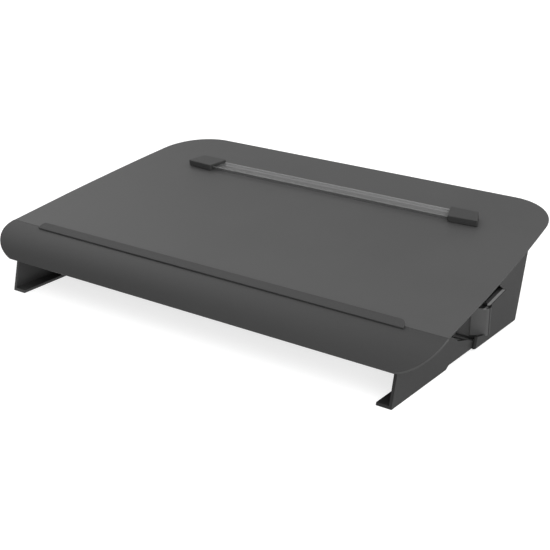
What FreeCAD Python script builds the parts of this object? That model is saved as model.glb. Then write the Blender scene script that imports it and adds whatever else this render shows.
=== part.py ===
import FreeCAD, Part
import math
import os

# Desk document holder with a sideways drawer.
# A sloping board with a rounded front apron stands on two side plates. A
# long drawer slides out to the right under the board, and a clear line guide
# slides up and down the slope. Lengths are in millimetres and angles in
# degrees. X runs to the right, Y to the back and Z up. While the pieces are
# built, y = 0 is the crease where board and apron meet, z = 0 is the desk.

os.makedirs("parts", exist_ok=True)
V = FreeCAD.Vector

# Board
board_width = 517.2
board_depth = 275.4
board_thick = 1.5
board_tilt = 7.85
board_corner_radius = 56.0
board_edge_round = 0.4
board_rear_inset = 23.1
bow_front_share = 0.321
bow_front_inset = 3.9
bow_rear_share = 0.675
bow_rear_inset = 12.0
bow_radius = 1900.0
crease_height = 61.7

# Apron in front of the board
nose_run = 38.5
nose_drop = 25.6
nose_kink = 0.15
nose_end_slope = 58.0
nose_wall = 2.4
nose_corner_radius = 38.0
nose_lap_depth = 14.0
nose_lap_inset = 15.0
nose_lap_root = 3.0
seam = 0.3

# Ledge that stops the papers
lip_margin = 40.6
lip_end_round = 7.6
lip_overhang = 4.7
lip_depth = 8.4
lip_height = 4.5
lip_crest = 1.2
lip_front_edge = 1.3

# Side plates and their feet
side_overhang = 31.1
plate_thick = 3.0
leg_front = -35.8
leg_lean = 13.5
rear_lean = 15.3
foot_width = 15.5
foot_thick = 2.7
front_foot_end = 59.0
foot_step = 4.6
relief_height = 3.3
rear_foot_lead = 6.1
rear_foot_cover = 7.1
plate_band = 13.0
plate_fit = 0.3

# Finger opening in the right side plate
finger_front = 61.0
finger_corner = 5.0
dip_front_height = 34.0
dip_front_radius = 12.0
dip_middle = 79.9
dip_middle_height = 21.0
dip_middle_radius = 30.0
dip_rear = 98.0
dip_rear_height = 15.6
dip_rear_radius = 24.0
bar_height = 7.8
post_width = 9.0

# Rubber pads under the feet
pad_stand = 0.6
pad_thick = 1.6
pad_radius = 5.5
pad_end_margin = 11.0

# Drawer bay
bay_front = 124.1
bay_depth = 64.8
bay_floor = 1.8
bay_wall = 2.0
bay_side_fit = 0.5
bay_lip = 3.0
bay_lip_thick = 2.0
bay_front_end_inset = 22.0
bay_left_inset = 20.5
bumper_thick = 2.0
bumper_share = 0.31
bumper_height = 14.0
bumper_lift = 8.0

# Drawer tray
tray_wall = 2.0
tray_floor = 2.0
tray_height = 29.6
tray_corner = 5.0
glide_thick = 1.0
glide_width = 7.0
glide_edge = 5.0
glide_end = 12.0
running_gap = 0.3
divider_thick = 1.6
divider_drop = 5.0
divider_shares = (0.33, 0.7)
rim_gap = 0.5
stop_tab_width = 14.0
stop_tab_thick = 3.0
stop_tab_rise = 7.0
stop_bar_width = 10.0
stop_bar_thick = 2.6
drawer_travel = 260.0

# Drawer front, with places measured back from the bay's front
front_skin = 2.7
front_pad_depth = 4.8
front_ground_gap = 2.8
front_edge_low = 6.9
front_edge_high = 9.9
front_edge_round = 8.0
front_cover = 2.5
front_top_gap = 3.0
front_corner = 2.0
pad_margin = 0.8

# Tongue over the plate's bar
tongue_lead = 16.1
tongue_height = 14.2
tongue_rear_height = 8.6
tongue_lean = 16.0
tongue_round = 2.4

# Cut-out in the drawer front, with a bevelled sill and a forward leaning rear end
cutout_front = 16.6
cutout_front_height = 38.2
cutout_slope = 9.8
cutout_end = 21.5
cutout_lean = 53.3
cutout_rise = 14.0
cutout_corner = 3.0
bevel_depth = 4.5
bevel_rise = 3.6

# Screws of the drawer front
front_screw_radius = 1.25
front_screw_head = 2.6
front_screw_head_thick = 1.4
front_screw_length = 6.0

# Pull on the drawer front
pull_inner_x = 12.5
pull_inner_lead = 3.2
pull_proud = 2.2
pull_outer_place = 4.9
pull_outer_flat = 3.6
pull_root_place = 14.9
pull_wall = 3.0
pull_low = 9.6
pull_high = 37.2
pull_round = 4.0
pull_hook_low = 6.6
pull_end_round = 1.0

# Rails under the board
rail_depth = 20.0
rail_drop = 17.6
rail_sheet = 2.0
front_rail_place = 42.0
rear_rail_place = 196.0
rail_hole_fit = 0.2

# Small fixings
stud_radius = 2.0
stud_length = 7.4
nut_flats = 7.0
nut_thick = 3.0
nut_fit = 0.1
rail_stud_shares = (-0.67, 0.0, 0.67)
nose_stud_shares = (-0.77, -0.27, 0.27, 0.77)
nose_stud_depth = 8.0
screw_radius = 1.25
screw_head_radius = 2.6
screw_head_thick = 1.5
screw_fit = 0.15
rail_screw_spacing = 9.0
rail_screw_depth = 1.8
floor_screw_inset = 22.0
floor_screw_sink = 0.4
floor_screw_stop = 0.2

# Clear line guide, a little to the right of the middle
guide_shift = 2.5
guide_place = 196.8
guide_bar_width = 16.7
guide_bar_height = 3.4
guide_bar_web = 2.2
guide_rib_width = 1.5
guide_lens_rise = 0.7
guide_groove = 1.6
guide_bar_half = 164.0
guide_lift = 0.8

# Its end caps, measured from the bar's end, front and rear edge
cap_height = 7.2
cap_lift = 0.8
cap_front_reach = 17.3
cap_rear_reach = 8.9
cap_front_hold = 14.7
cap_rear_hold = 22.1
cap_inner_lead = 3.1
cap_outer_lead = 1.2
cap_rear_cover = 1.0
cap_corner = 1.0
cap_top_round = 0.6
cap_pocket_fit = 0.15
magnet_radius = 4.0
magnet_thick = 1.4
cap_pad_thick = 0.5

# Tool sizes
overrun = 5.0
blank_height = 140.0
far = 400.0

# Worked out from the sizes above
tilt_rad = math.radians(board_tilt)
half_width = board_width / 2
nose_start_slope = board_tilt + nose_kink
lip_half = half_width - lip_margin
plate_face = half_width - side_overhang
plate_inner = plate_face - plate_thick
foot_top = pad_stand + foot_thick
floor_top = foot_top + bay_floor
glide_bottom = floor_top + running_gap
tray_bottom = glide_bottom + glide_thick
tray_top = tray_bottom + tray_height
bay_rear = bay_front + bay_depth
rear_foot_start = bay_front - rear_foot_lead
rear_foot_end = bay_rear + rear_foot_cover
tray_front = bay_front + bay_side_fit
tray_rear = bay_rear - bay_side_fit
skin_inner = plate_face + plate_fit
skin_outer = skin_inner + front_skin
pad_inner = skin_inner - front_pad_depth
tray_left = -(plate_inner - bay_left_inset - bay_wall - bumper_thick - running_gap)
lip_bottom = tray_top + rim_gap
board_reach = board_depth * math.cos(tilt_rad)
rear_reach = board_reach + (board_thick - board_edge_round) * math.sin(tilt_rad)
centre_y = (rear_reach - nose_run) / 2


def underside(y):
    """Height of the board's underside above the desk at a place y."""
    return crease_height + y * math.tan(tilt_rad) - board_thick / math.cos(tilt_rad)


def corner_wire(corners, place):
    """Closed wire through (a, b, radius) corners; place turns (a, b) into a vector."""
    count = len(corners)
    starts, ends, arcs = [], [], []
    for i in range(count):
        a, b, radius = corners[i]
        here = V(a, b, 0)
        before = V(corners[i - 1][0], corners[i - 1][1], 0)
        after = V(corners[(i + 1) % count][0], corners[(i + 1) % count][1], 0)
        if radius == 0:
            starts.append(here)
            ends.append(here)
            arcs.append(None)
            continue
        to_before = (before - here).normalize()
        to_after = (after - here).normalize()
        half = to_before.getAngle(to_after) / 2
        reach = radius / math.tan(half)
        middle = (to_before + to_after).normalize()
        centre = here + middle * (radius / math.sin(half))
        starts.append(here + to_before * reach)
        ends.append(here + to_after * reach)
        arcs.append(centre - middle * radius)
    edges = []
    for i in range(count):
        if arcs[i] is not None:
            first, between, last = (place(p.x, p.y) for p in (starts[i], arcs[i], ends[i]))
            edges.append(Part.Arc(first, between, last).toShape())
        leave = place(ends[i].x, ends[i].y)
        arrive = place(starts[(i + 1) % count].x, starts[(i + 1) % count].y)
        if leave.distanceToPoint(arrive) > 1e-6:
            edges.append(Part.makeLine(leave, arrive))
    return Part.Wire(Part.__sortEdges__(edges))


def side_prism(corners, x0, x1):
    """Solid with a (y, z) outline between two x planes."""
    face = Part.Face(corner_wire(corners, lambda a, b: V(x0, a, b)))
    return face.extrude(V(x1 - x0, 0, 0))


def plan_prism(corners, z0, z1):
    """Solid with an (x, y) outline between two z planes."""
    face = Part.Face(corner_wire(corners, lambda a, b: V(a, b, z0)))
    return face.extrude(V(0, 0, z1 - z0))


def block(x0, x1, y0, y1, z0, z1):
    """Plain box between two corners."""
    return Part.makeBox(x1 - x0, y1 - y0, z1 - z0, V(x0, y0, z0))


def rod(radius, x, y, z0, z1):
    """Upright cylinder between two heights."""
    return Part.makeCylinder(radius, z1 - z0, V(x, y, z0))


def cross_rod(radius, x0, x1, y, z):
    """Cylinder along X between two x planes."""
    return Part.makeCylinder(radius, x1 - x0, V(x0, y, z), V(1, 0, 0))


def joined(shapes):
    """One clean solid from several that touch or overlap."""
    result = shapes[0]
    for shape in shapes[1:]:
        result = result.fuse(shape)
    return result.removeSplitter()


def mirrored(shape):
    """Left-hand copy of a right-hand piece."""
    return shape.mirror(V(0, 0, 0), V(1, 0, 0))


def on_board(shape):
    """Turns a piece built flat (x, along the slope, above the top) onto the slope."""
    moved = shape.copy()
    moved.Placement = FreeCAD.Placement(
        V(0, 0, crease_height), FreeCAD.Rotation(V(1, 0, 0), board_tilt)
    ).multiply(moved.Placement)
    return moved


def write(name, shape):
    """Moves a finished piece to the part's own origin and writes it."""
    moved = shape.copy()
    moved.translate(V(0, -centre_y, 0))
    moved.exportStep("parts/" + name + ".step")


# Apron profile

def nose_arc():
    """Radius and centre (y, z) of the apron's curve, from its run, drop and slopes."""
    a = math.radians(nose_start_slope)
    b = math.radians(nose_end_slope)
    arc_run = math.sin(b) - math.sin(a)
    arc_drop = math.cos(a) - math.cos(b)
    spread = arc_run * math.sin(b) - arc_drop * math.cos(b)
    radius = (nose_run * math.sin(b) - nose_drop * math.cos(b)) / spread
    centre = (radius * math.sin(a), crease_height - radius * math.cos(a))
    return radius, centre


def nose_point(inset, slope):
    """Point of the apron's curve at a slope angle, a given depth inside the outer skin."""
    radius, centre = nose_arc()
    angle = math.radians(slope)
    reach = radius - inset
    return V(0, centre[0] - reach * math.sin(angle), centre[1] + reach * math.cos(angle))


def nose_edge(inset, extra):
    """Lower end of the apron's flat, a given depth inside it, lengthened by extra."""
    angle = math.radians(nose_end_slope)
    y = -nose_run + inset * math.sin(angle)
    z = crease_height - nose_drop - inset * math.cos(angle)
    return V(0, y, z) + V(0, -math.cos(angle), -math.sin(angle)) * extra


def nose_curve(inset):
    """Curved edge of the apron's profile at a given depth inside the outer skin."""
    middle = (nose_start_slope + nose_end_slope) / 2
    points = [nose_point(inset, s) for s in (nose_start_slope, middle, nose_end_slope)]
    return Part.Arc(*points).toShape()


def shifted_prism(edges, x0, x1):
    """Solid from a closed (y, z) profile of edges at x = 0, between two x planes."""
    face = Part.Face(Part.Wire(Part.__sortEdges__(edges)))
    face.translate(V(x0, 0, 0))
    return face.extrude(V(x1 - x0, 0, 0))


def nose_keepout(inset):
    """Everything in front of and above a surface that lies inset inside the apron."""
    top = nose_point(inset, nose_start_slope)
    low = nose_edge(inset, far)
    corner_high = V(0, top.y, crease_height + far)
    corner_far = V(0, -far - far, crease_height + far)
    corner_low = V(0, -far - far, low.z)
    edges = [
        nose_curve(inset),
        Part.makeLine(nose_point(inset, nose_end_slope), low),
        Part.makeLine(low, corner_low),
        Part.makeLine(corner_low, corner_far),
        Part.makeLine(corner_far, corner_high),
        Part.makeLine(corner_high, top),
    ]
    return shifted_prism(edges, -half_width - overrun, half_width + overrun)


def nose_outline():
    """Prism square to the apron's chord that gives it its rounded lower corners."""
    chord = math.hypot(nose_run, nose_drop)
    across = math.degrees(math.atan2(nose_drop, nose_run))
    taper = bow_front_inset / (bow_front_share * board_depth)
    corners = [
        (-half_width + far * taper, far, 0),
        (-half_width, 0, 0),
        (-half_width - chord * taper, -chord, nose_corner_radius),
        (half_width + chord * taper, -chord, nose_corner_radius),
        (half_width, 0, 0),
        (half_width - far * taper, far, 0),
    ]
    prism = plan_prism(corners, -far, far)
    prism.rotate(V(0, 0, 0), V(1, 0, 0), across)
    prism.translate(V(0, 0, crease_height))
    return prism


# Board, apron and ledge

def platform_board():
    corners = [
        (half_width, 0, 0),
        (half_width - bow_front_inset, bow_front_share * board_depth, bow_radius),
        (half_width - bow_rear_inset, bow_rear_share * board_depth, bow_radius),
        (half_width - board_rear_inset, board_depth, board_corner_radius),
    ]
    corners += [(-x, y, radius) for x, y, radius in reversed(corners)]
    plate = plan_prism(corners, -board_thick, 0)
    sides = [
        edge for edge in plate.Edges
        if edge.BoundBox.ZLength < board_edge_round and edge.BoundBox.YMax > board_edge_round
    ]
    return on_board(plate.makeChamfer(board_edge_round, sides))


def front_apron():
    edges = [
        nose_curve(0),
        Part.makeLine(nose_point(0, nose_end_slope), nose_edge(0, 0)),
        Part.makeLine(nose_edge(0, 0), nose_edge(nose_wall, 0)),
        Part.makeLine(nose_edge(nose_wall, 0), nose_point(nose_wall, nose_end_slope)),
        nose_curve(nose_wall),
        Part.makeLine(nose_point(nose_wall, nose_start_slope), nose_point(0, nose_start_slope)),
    ]
    shell = shifted_prism(edges, -half_width - overrun, half_width + overrun)
    shell = shell.common(nose_outline())
    lap_half = half_width - nose_lap_inset
    lap_low = -board_thick - nose_wall
    lap = block(-lap_half, lap_half, -nose_lap_root, nose_lap_depth, lap_low, -board_thick)
    for x in nose_stud_xs():
        lap = lap.cut(rod(stud_radius + rail_hole_fit, x, nose_stud_depth, -far, far))
    board_room = block(-far, far, -seam, far, -board_thick, far)
    return joined([shell, on_board(lap)]).cut(on_board(board_room))


def document_lip():
    """Raised ledge whose top runs down to a thin edge over the apron."""
    rear = lip_depth - lip_overhang
    corners = [
        (-lip_overhang, 0, 0),
        (rear, 0, 0),
        (rear, lip_height, 0),
        (rear - lip_crest, lip_height, lip_crest),
        (-lip_overhang, lip_front_edge, 0),
    ]
    bar = side_prism(corners, -lip_half, lip_half)
    plan = [
        (-lip_half, -lip_overhang, 0),
        (lip_half, -lip_overhang, 0),
        (lip_half, rear, lip_end_round),
        (-lip_half, rear, lip_end_round),
    ]
    return on_board(bar.common(plan_prism(plan, -far, far)))


# Side plates

def plate_blank():
    """Right-hand plate with leaning ends, its foot flanges and its fit under the board."""
    rise = blank_height
    corners = [
        (leg_front, pad_stand, 0),
        (front_foot_end, pad_stand, 0),
        (front_foot_end + foot_step, relief_height, 0),
        (rear_foot_start - foot_step, relief_height, 0),
        (rear_foot_start, pad_stand, 0),
        (rear_foot_end, pad_stand, 0),
        (rear_foot_end + rise * math.tan(math.radians(rear_lean)), pad_stand + rise, 0),
        (leg_front + rise * math.tan(math.radians(leg_lean)), pad_stand + rise, 0),
    ]
    plate = side_prism(corners, plate_inner, plate_face)
    inside = plate_face - foot_width
    flanges = [
        block(inside, plate_face, leg_front, front_foot_end, pad_stand, foot_top),
        block(inside, plate_face, rear_foot_start, rear_foot_end, pad_stand, foot_top),
    ]
    plate = joined([plate] + flanges)
    lean_cut = [
        (leg_front, pad_stand, 0),
        (leg_front + rise * math.tan(math.radians(leg_lean)), pad_stand + rise, 0),
        (leg_front - rise, pad_stand + rise, 0),
        (leg_front - rise, pad_stand, 0),
    ]
    plate = plate.cut(side_prism(lean_cut, -far, far))
    over_board = block(-far, far, -far, far, -board_thick, far)
    lap_rear = nose_lap_depth + plate_fit
    over_lap = block(-far, far, -far, lap_rear, -board_thick - nose_wall - plate_fit, far)
    plate = plate.cut(on_board(over_board)).cut(on_board(over_lap))
    return plate.cut(nose_keepout(nose_wall + plate_fit))


def foot_centre():
    return plate_face - foot_width / 2


def pad_places():
    """Places y of the pads under one side's two feet."""
    return (
        leg_front + pad_end_margin,
        front_foot_end - pad_end_margin,
        rear_foot_start + pad_end_margin,
        rear_foot_end - pad_end_margin,
    )


def floor_screw_places():
    return (rear_foot_start + floor_screw_inset, rear_foot_end - floor_screw_inset)


def rail_screw_points(place):
    """The two (slope, depth) screw points in a rail's end tab."""
    middle = place + rail_depth / 2
    depth = -board_thick - rail_drop / 2 - rail_sheet / 2
    return [(middle + side * rail_screw_spacing / 2, depth) for side in (-1, 1)]


def drilled_plate():
    """Right-hand plate with pad recesses and screw holes."""
    plate = plate_blank()
    for y in pad_places():
        plate = plate.cut(rod(pad_radius + screw_fit, foot_centre(), y, -overrun, pad_thick))
    for y in floor_screw_places():
        head_top = pad_stand + floor_screw_sink + screw_head_thick
        plate = plate.cut(rod(screw_head_radius + screw_fit, foot_centre(), y, -overrun, head_top))
        plate = plate.cut(rod(screw_radius + screw_fit, foot_centre(), y, -overrun, foot_top + overrun))
    for place in (front_rail_place, rear_rail_place):
        for slope, depth in rail_screw_points(place):
            end = plate_inner + rail_screw_depth
            hole = cross_rod(screw_radius + screw_fit, plate_inner - overrun, end, slope, depth)
            plate = plate.cut(on_board(hole))
    return plate


def plate_opening():
    """Opening in the right plate: a dip for the fingers in front, the drawer's mouth behind."""
    mouth_front = bay_front - tongue_lead + post_width
    mouth_rear = bay_rear + bay_wall
    lean = math.tan(math.radians(rear_lean))
    top_rear = mouth_rear + (underside(mouth_rear) - plate_band) * lean / 2
    corners = [
        (finger_front, underside(finger_front) - plate_band, finger_corner),
        (finger_front, dip_front_height, dip_front_radius),
        (dip_middle, dip_middle_height, dip_middle_radius),
        (dip_rear, dip_rear_height, dip_rear_radius),
        (mouth_front, bar_height, 0),
        (mouth_front, floor_top, 0),
        (mouth_rear, floor_top, 0),
        (top_rear, underside(top_rear) - plate_band, finger_corner),
    ]
    return side_prism(corners, plate_inner - overrun, plate_face + overrun)


def right_side_plate():
    return drilled_plate().cut(plate_opening())


def left_side_plate():
    return mirrored(drilled_plate())


def foot_pads(places):
    """Rubber discs let into both sides' feet."""
    pads = []
    for y in places:
        for side in (-1, 1):
            pads.append(rod(pad_radius, side * foot_centre(), y, 0, pad_thick))
    return Part.makeCompound(pads)


# Rails under the board and what holds them

def cross_rail(place):
    """Folded rail under the board with a screwed tab at each plate."""
    low = -board_thick - rail_drop
    reach = plate_inner
    top = block(-reach, reach, place, place + rail_depth, -board_thick - rail_sheet, -board_thick)
    web = block(-reach, reach, place, place + rail_sheet, low, -board_thick)
    rail = joined([top, web])
    for side in (-1, 1):
        x0 = side * reach
        x1 = side * (reach - rail_sheet)
        tab = block(min(x0, x1), max(x0, x1), place, place + rail_depth, low, -board_thick)
        rail = joined([rail, tab])
    for x in rail_stud_xs():
        rail = rail.cut(rod(stud_radius + rail_hole_fit, x, rail_stud_slope(place), -far, far))
    for slope, depth in rail_screw_points(place):
        rail = rail.cut(cross_rod(screw_radius + screw_fit, -far, far, slope, depth))
    return on_board(rail)


def rail_stud_xs():
    return [share * plate_inner for share in rail_stud_shares]


def rail_stud_slope(place):
    """Place along the slope of a rail's studs, in the middle of its flange."""
    return place + (rail_depth + rail_sheet) / 2


def nose_stud_xs():
    return [share * half_width for share in nose_stud_shares]


def stud_points():
    """(x, slope, sheet thickness) of every welded stud under the board."""
    points = []
    for place in (front_rail_place, rear_rail_place):
        points += [(x, rail_stud_slope(place), rail_sheet) for x in rail_stud_xs()]
    return points + [(x, nose_stud_depth, nose_wall) for x in nose_stud_xs()]


def board_studs():
    studs = []
    for x, slope, sheet in stud_points():
        studs.append(on_board(rod(stud_radius, x, slope, -board_thick - stud_length, -board_thick)))
    return Part.makeCompound(studs)


def hexagon(x, y, flats, z0, z1):
    """Hexagonal prism, flats apart, between two heights."""
    reach = flats / math.sqrt(3)
    corners = []
    for i in range(6):
        angle = math.radians(60 * i)
        corners.append((x + reach * math.cos(angle), y + reach * math.sin(angle), 0))
    return plan_prism(corners, z0, z1)


def board_nuts():
    nuts = []
    for x, slope, sheet in stud_points():
        top = -board_thick - sheet
        nut = hexagon(x, slope, nut_flats, top - nut_thick, top)
        nuts.append(on_board(nut.cut(rod(stud_radius + nut_fit, x, slope, -far, far))))
    return Part.makeCompound(nuts)


def rail_screws():
    """Screws through the rails' end tabs into the side plates."""
    screws = []
    for place in (front_rail_place, rear_rail_place):
        for slope, depth in rail_screw_points(place):
            tab = plate_inner - rail_sheet
            shank = cross_rod(screw_radius, tab, plate_inner + rail_screw_depth, slope, depth)
            head = cross_rod(screw_head_radius, tab - screw_head_thick, tab, slope, depth)
            screw = on_board(joined([shank, head]))
            screws += [screw, mirrored(screw)]
    return Part.makeCompound(screws)


# Drawer bay

def floor_screws():
    """Screws from under the rear feet into the bay's floor."""
    screws = []
    for y in floor_screw_places():
        low = pad_stand + floor_screw_sink
        for side in (-1, 1):
            x = side * foot_centre()
            head = rod(screw_head_radius, x, y, low, low + screw_head_thick)
            shank = rod(screw_radius, x, y, low + screw_head_thick, floor_top - floor_screw_stop)
            screws.append(joined([head, shank]))
    return Part.makeCompound(screws)


def drawer_bay():
    """Long channel between the plates, open to the right, with lips over the tray's rim."""
    reach = pad_inner - plate_fit
    front_reach = plate_inner - bay_front_end_inset
    left = -(plate_inner - bay_left_inset)
    lip_top = lip_bottom + bay_lip_thick
    pieces = [
        block(-reach, reach, bay_front - bay_wall, bay_rear + bay_wall, foot_top, floor_top),
        block(left, front_reach, bay_front - bay_wall, bay_front, foot_top, lip_top),
        block(left, reach, bay_rear, bay_rear + bay_wall, foot_top, lip_top),
        block(left, left + bay_wall, bay_front - bay_wall, bay_rear + bay_wall, foot_top, lip_top),
        block(left, front_reach, bay_front - bay_wall, bay_front + bay_lip, lip_bottom, lip_top),
        block(left, reach, bay_rear - bay_lip, bay_rear + bay_wall, lip_bottom, lip_top),
    ]
    bay = joined(pieces)
    for y in floor_screw_places():
        for side in (-1, 1):
            x = side * foot_centre()
            top = floor_top - floor_screw_stop
            bay = bay.cut(rod(screw_radius + screw_fit, x, y, foot_top - overrun, top))
    return bay


def drawer_bumpers():
    """Two soft blocks on the bay's closed end that meet the tray."""
    x = -(plate_inner - bay_left_inset) + bay_wall
    z = floor_top + bumper_lift
    blocks = []
    length = bumper_share * bay_depth
    for y in (bay_front + length / 2, bay_rear - length * 3 / 2):
        blocks.append(block(x, x + bumper_thick, y, y + length, z, z + bumper_height))
    return Part.makeCompound(blocks)


def stop_bar():
    """Bar across the bay's lips that the tray's tab meets when the drawer is fully out."""
    x = tray_left + stop_tab_thick + drawer_travel + running_gap
    z = lip_bottom + bay_lip_thick
    y0 = bay_front - bay_wall
    y1 = bay_rear + bay_wall
    return block(x, x + stop_bar_width, y0, y1, z, z + stop_bar_thick)


# Drawer

def drawer_tray():
    """Open tray with rounded corners, two cross walls and a stop tab at its far end."""
    def outline(inset, radius):
        return [
            (tray_left + inset, tray_front + inset, radius),
            (pad_inner - inset, tray_front + inset, radius),
            (pad_inner - inset, tray_rear - inset, radius),
            (tray_left + inset, tray_rear - inset, radius),
        ]
    tray = plan_prism(outline(0, tray_corner), tray_bottom, tray_top)
    inside = outline(tray_wall, tray_corner - tray_wall)
    tray = tray.cut(plan_prism(inside, tray_bottom + tray_floor, tray_top + overrun))
    for share in divider_shares:
        x = tray_left + share * (pad_inner - tray_left)
        top = tray_top - divider_drop
        wall = block(x, x + divider_thick, tray_front, tray_rear, tray_bottom, top)
        tray = joined([tray, wall])
    middle = (tray_front + tray_rear) / 2
    tab = block(
        tray_left, tray_left + stop_tab_thick,
        middle - stop_tab_width / 2, middle + stop_tab_width / 2,
        tray_bottom, tray_top + stop_tab_rise
    )
    return joined([tray, tab]).cut(front_screw_holes(overrun))


def drawer_glides():
    """Two slippery strips under the tray that run on the bay's floor."""
    strips = []
    for y in (tray_front + glide_edge, tray_rear - glide_edge - glide_width):
        strips.append(block(
            tray_left + glide_end, pad_inner - glide_end, y, y + glide_width, glide_bottom, tray_bottom
        ))
    return Part.makeCompound(strips)


def cutout_line(y):
    """Height of the cut-out's sill at the outer face, at a place y."""
    return cutout_front_height + (y - bay_front - cutout_front) * math.tan(math.radians(cutout_slope))


def cutout_rear(height):
    """Place (y, z) on the cut-out's leaning rear end, a height above its lower corner."""
    corner = bay_rear - cutout_end
    return corner - height * math.tan(math.radians(cutout_lean)), cutout_line(corner) + height


def front_screw_points():
    """(y, z) of the screws that hold the drawer front to the tray."""
    z = (tray_bottom + tray_floor + tray_top) / 2
    inset = tray_corner + front_screw_head
    return [(tray_front + inset, z), (tray_rear - inset, z)]


def front_screw_holes(reach):
    """Holes for the drawer front's screws, from inside the tray to reach beyond its end."""
    radius = front_screw_radius + screw_fit
    start = pad_inner - tray_wall - overrun
    return Part.makeCompound([
        cross_rod(radius, start, pad_inner + reach, y, z) for y, z in front_screw_points()
    ])


def sill_corners():
    """Edge of the cut-out behind its bevel, from its rear end to the front edge."""
    steep = 1 / math.tan(math.radians(cutout_lean)) + math.tan(math.radians(cutout_slope))
    rear = bay_rear - cutout_end - bevel_rise / steep
    front = bay_front + front_edge_high
    return [(y, cutout_line(y) + bevel_rise, 0) for y in (rear, front)]


def front_skin_plate():
    """Outer skin of the drawer front, up to the board behind the cut-out."""
    lean = math.tan(math.radians(rear_lean))
    rear = bay_rear + bay_wall + front_cover
    rear_top = rear + (underside(rear) - front_top_gap) * lean
    top = underside(rear_top) - front_top_gap
    brow, brow_height = cutout_rear(cutout_rise)
    corners = [
        (bay_front + front_edge_low, front_ground_gap, 0),
        (rear, front_ground_gap, front_corner / 2),
        (rear + (top - front_ground_gap) * lean, top, front_corner),
        (brow, underside(brow) - front_top_gap, front_corner),
        (brow, brow_height, cutout_corner),
    ]
    return side_prism(corners + sill_corners(), skin_inner, skin_outer)


def front_pad():
    """Thick part behind the skin that fills the plate's mouth and meets the tray."""
    rear = bay_rear - pad_margin
    brow, brow_height = cutout_rear(cutout_rise)
    corners = [
        (bay_front + front_edge_low, tray_bottom, 0),
        (rear, tray_bottom, 0),
        (rear, underside(brow) - plate_band - pad_margin, front_corner),
        (brow, underside(brow) - plate_band - pad_margin, front_corner),
        (brow, brow_height, cutout_corner),
    ]
    return side_prism(corners + sill_corners(), pad_inner, skin_inner)


def bevel_cutter():
    """Wedge that slopes the cut-out's sill down to the outer face, as far as its rear end."""
    start = bay_front + front_edge_low - overrun
    end = bay_rear
    z = cutout_line(start)
    corners = [
        V(skin_outer, start, z),
        V(skin_outer - bevel_depth, start, z + bevel_rise),
        V(skin_outer - bevel_depth, start, z + bevel_rise + overrun),
        V(skin_outer + overrun, start, z + bevel_rise + overrun),
        V(skin_outer + overrun, start, z),
    ]
    face = Part.Face(Part.makePolygon(corners + [corners[0]]))
    wedge = face.extrude(V(0, end - start, cutout_line(end) - z))
    low = cutout_rear(-overrun)
    high = cutout_rear(cutout_rise)
    behind = [(*low, 0), (far, low[1], 0), (far, high[1], 0), (*high, 0)]
    return wedge.cut(side_prism(behind, -far, far))


def tongue():
    """Low front end of the skin, over the plate's bar."""
    front = bay_front - tongue_lead
    root = bay_front + front_edge_low + front_edge_round
    lean = math.tan(math.radians(tongue_lean))
    corners = [
        (front, front_ground_gap, 0),
        (root, front_ground_gap, 0),
        (root, tongue_rear_height, 0),
        (front + (tongue_height - front_ground_gap) * lean, tongue_height, 0),
    ]
    plate = side_prism(corners, skin_inner, skin_outer)
    front_edges = [
        edge for edge in plate.Edges
        if edge.BoundBox.XMin > skin_outer - plate_fit
        and edge.BoundBox.ZLength > tongue_height / 2
        and edge.BoundBox.YMin < front + front_skin
    ]
    return plate.makeFillet(tongue_round, front_edges)


def drawer_front():
    """Moulded end of the drawer, with a low bevelled cut-out and a pull at its front edge."""
    edge = bay_front + front_edge_low
    rounding = [
        (pad_inner - overrun, edge, 0),
        (skin_outer, edge, front_edge_round),
        (skin_outer, far, 0),
        (pad_inner - overrun, far, 0),
    ]
    front = joined([front_skin_plate(), front_pad()]).common(plan_prism(rounding, 0, far))
    front = joined([front.cut(bevel_cutter()), tongue(), pull()])
    return front.cut(front_screw_holes(front_screw_length - tray_wall))


def pull():
    """Slanting wall that stands out from the front edge, with a hook behind the plate."""
    inner_x = skin_outer - pull_inner_x
    inner_y = bay_front - pull_inner_lead
    outer_x = skin_outer + pull_proud
    outer_y = bay_front + pull_outer_place
    root_y = bay_front + pull_root_place
    wall = V(outer_x - inner_x, outer_y - inner_y, 0).normalize()
    back = V(-wall.y, wall.x, 0) * pull_wall
    wing = [
        (inner_x, inner_y, pull_end_round),
        (outer_x, outer_y, pull_round),
        (outer_x, outer_y + pull_outer_flat, 0),
        (skin_outer, root_y, 0),
        (pad_inner, root_y, 0),
        (pad_inner, bay_front + front_edge_low + pull_wall, 0),
        (inner_x + back.x, inner_y + back.y, 0),
    ]
    upper = plan_prism(wing, pull_low, pull_high)
    hook_end = plate_inner - plate_fit
    along = (hook_end - inner_x) / wall.x
    hook = [
        (inner_x, inner_y, pull_end_round),
        (hook_end, inner_y + wall.y * along, 0),
        (hook_end + back.x, inner_y + wall.y * along + back.y, 0),
        (inner_x + back.x, inner_y + back.y, 0),
    ]
    tray_room = block(-far, pad_inner, tray_front - running_gap, far, -far, far)
    return joined([upper, plan_prism(hook, pull_hook_low, pull_high)]).cut(tray_room)


def drawer_front_screws():
    """Screws from inside the tray into the drawer front."""
    screws = []
    for y, z in front_screw_points():
        inside = pad_inner - tray_wall
        shank = cross_rod(front_screw_radius, inside, inside + front_screw_length, y, z)
        head = cross_rod(front_screw_head, inside - front_screw_head_thick, inside, y, z)
        screws.append(joined([shank, head]))
    return Part.makeCompound(screws)


# Line guide

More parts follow.
